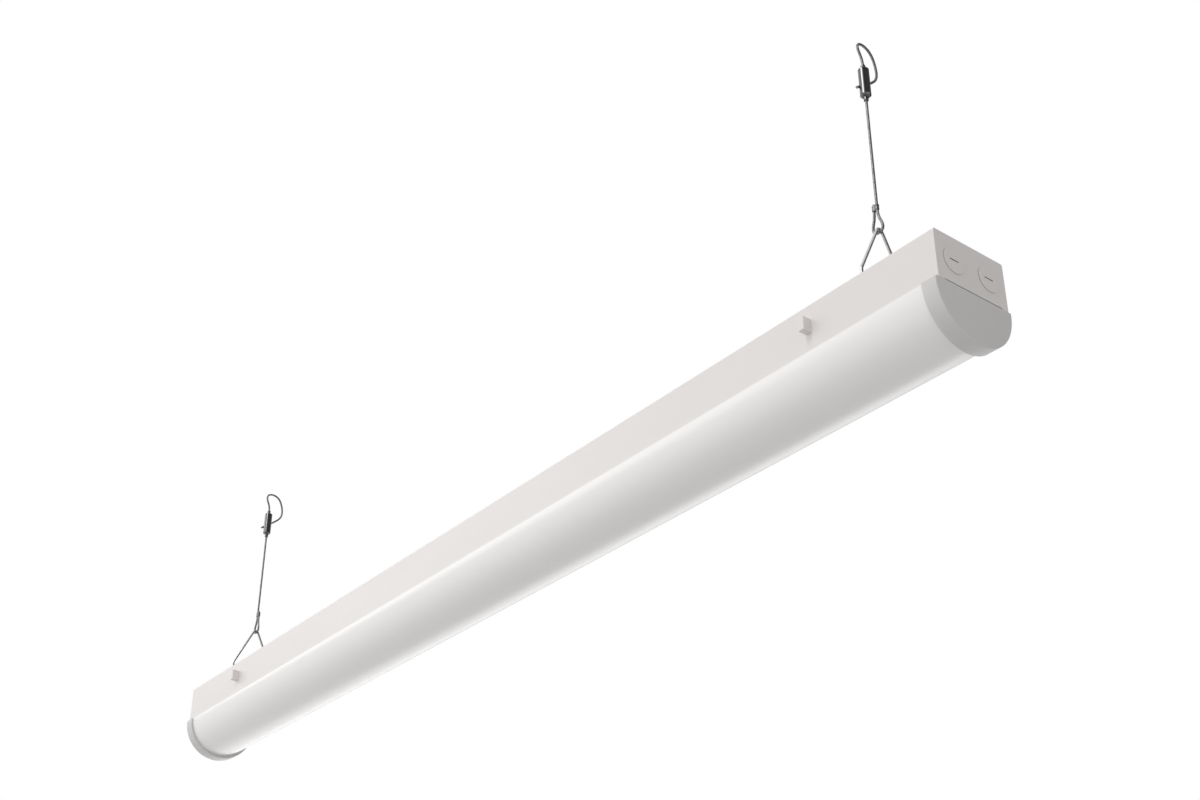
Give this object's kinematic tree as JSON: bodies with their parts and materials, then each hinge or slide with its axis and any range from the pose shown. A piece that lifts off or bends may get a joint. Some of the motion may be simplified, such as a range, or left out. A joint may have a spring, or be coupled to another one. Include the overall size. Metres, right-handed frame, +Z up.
{
  "type": "hanging shop light",
  "caption": "Long strip light: folded sheet-steel channel with a half-round opal lens, LED tray and driver inside, hung from V-hooks on looped steel cables with push-release grippers.",
  "frame": {"origin": "centre of the channel's back (top) face, midway between the two surface-mounting holes", "axes": "+Z up, out of the back; +X along the light; +Y across it"},
  "size_m": [1.2202, 0.093, 0.3399],
  "materials": {
    "white_paint": "satin powder coat",
    "opal_diffuser": "frosted opal",
    "white_moulding": "fine satin",
    "tray_paint": "gloss white",
    "circuit_board": "white solder mask",
    "phosphor": "encapsulant over phosphor",
    "nylon": "natural nylon",
    "galvanised": "zinc plated",
    "terminal_plastic": "moulded",
    "spring_steel": "passivated",
    "ground_green": "green dip",
    "nickel_wire": "bright nickel plate",
    "wire_rope": "bare steel strands",
    "ferrule_metal": "pressed",
    "gripper_metal": "nickel plated, turned",
    "jaw_steel": "hardened"
  },
  "bodies": {
    "housing": {"channel": "white_paint", "end_plate_left": "white_paint", "end_plate_right": "white_paint", "ground_screw": "ground_green"},
    "cover": {"lens": "opal_diffuser", "lens_cap_left": "white_moulding", "lens_cap_right": "white_moulding", "led_tray": "tray_paint", "board_rivets": "nylon", "driver_base": "galvanised", "driver_cover": "galvanised", "driver_screws": "galvanised", "supply_terminal": "terminal_plastic", "clip_rivets": "galvanised", "catch_spring_left": "spring_steel", "catch_spring_right": "spring_steel", "led_board_1": "circuit_board", "led_chips_1": "phosphor", "led_board_2": "circuit_board", "led_chips_2": "phosphor", "led_board_3": "circuit_board", "led_chips_3": "phosphor", "led_board_4": "circuit_board", "led_chips_4": "phosphor"},
    "v_hook_left": {"v_hook_left": "nickel_wire"},
    "hanger_left": {"cable_left": "wire_rope", "ferrule_left": "ferrule_metal", "gripper_body_left": "gripper_metal", "grip_jaws_left": "jaw_steel"},
    "release_left": {"release_plunger_left": "gripper_metal"},
    "v_hook_right": {"v_hook_right": "nickel_wire"},
    "hanger_right": {"cable_right": "wire_rope", "ferrule_right": "ferrule_metal", "gripper_body_right": "gripper_metal", "grip_jaws_right": "jaw_steel"},
    "release_right": {"release_plunger_right": "gripper_metal"}
  },
  "joints": [
    {"name": "cover_drop", "type": "slide", "parent": "housing", "child": "cover", "axis": [0, 0, -1], "range_m": [0, 0.06]},
    {"name": "v_hook_swing_left", "type": "hinge", "parent": "housing", "child": "v_hook_left", "pos_m": [-0.5287, 0, -0.00245], "axis": [0, 1, 0], "range_deg": [-55, 55]},
    {"name": "hanger_tilt_left", "type": "hinge", "parent": "v_hook_left", "child": "hanger_left", "pos_m": [-0.5287, 0, 0.05945], "axis": [1, 0, 0], "range_deg": [-45, 45]},
    {"name": "release_press_left", "type": "slide", "parent": "hanger_left", "child": "release_left", "axis": [0, 0, -1], "range_m": [0, 0.0025], "stiffness_N_per_m": 600},
    {"name": "v_hook_swing_right", "type": "hinge", "parent": "housing", "child": "v_hook_right", "pos_m": [0.5287, 0, -0.00245], "axis": [0, 1, 0], "range_deg": [-55, 55]},
    {"name": "hanger_tilt_right", "type": "hinge", "parent": "v_hook_right", "child": "hanger_right", "pos_m": [0.5287, 0, 0.05945], "axis": [1, 0, 0], "range_deg": [-45, 45]},
    {"name": "release_press_right", "type": "slide", "parent": "hanger_right", "child": "release_right", "axis": [0, 0, -1], "range_m": [0, 0.0025], "stiffness_N_per_m": 600}
  ]
}
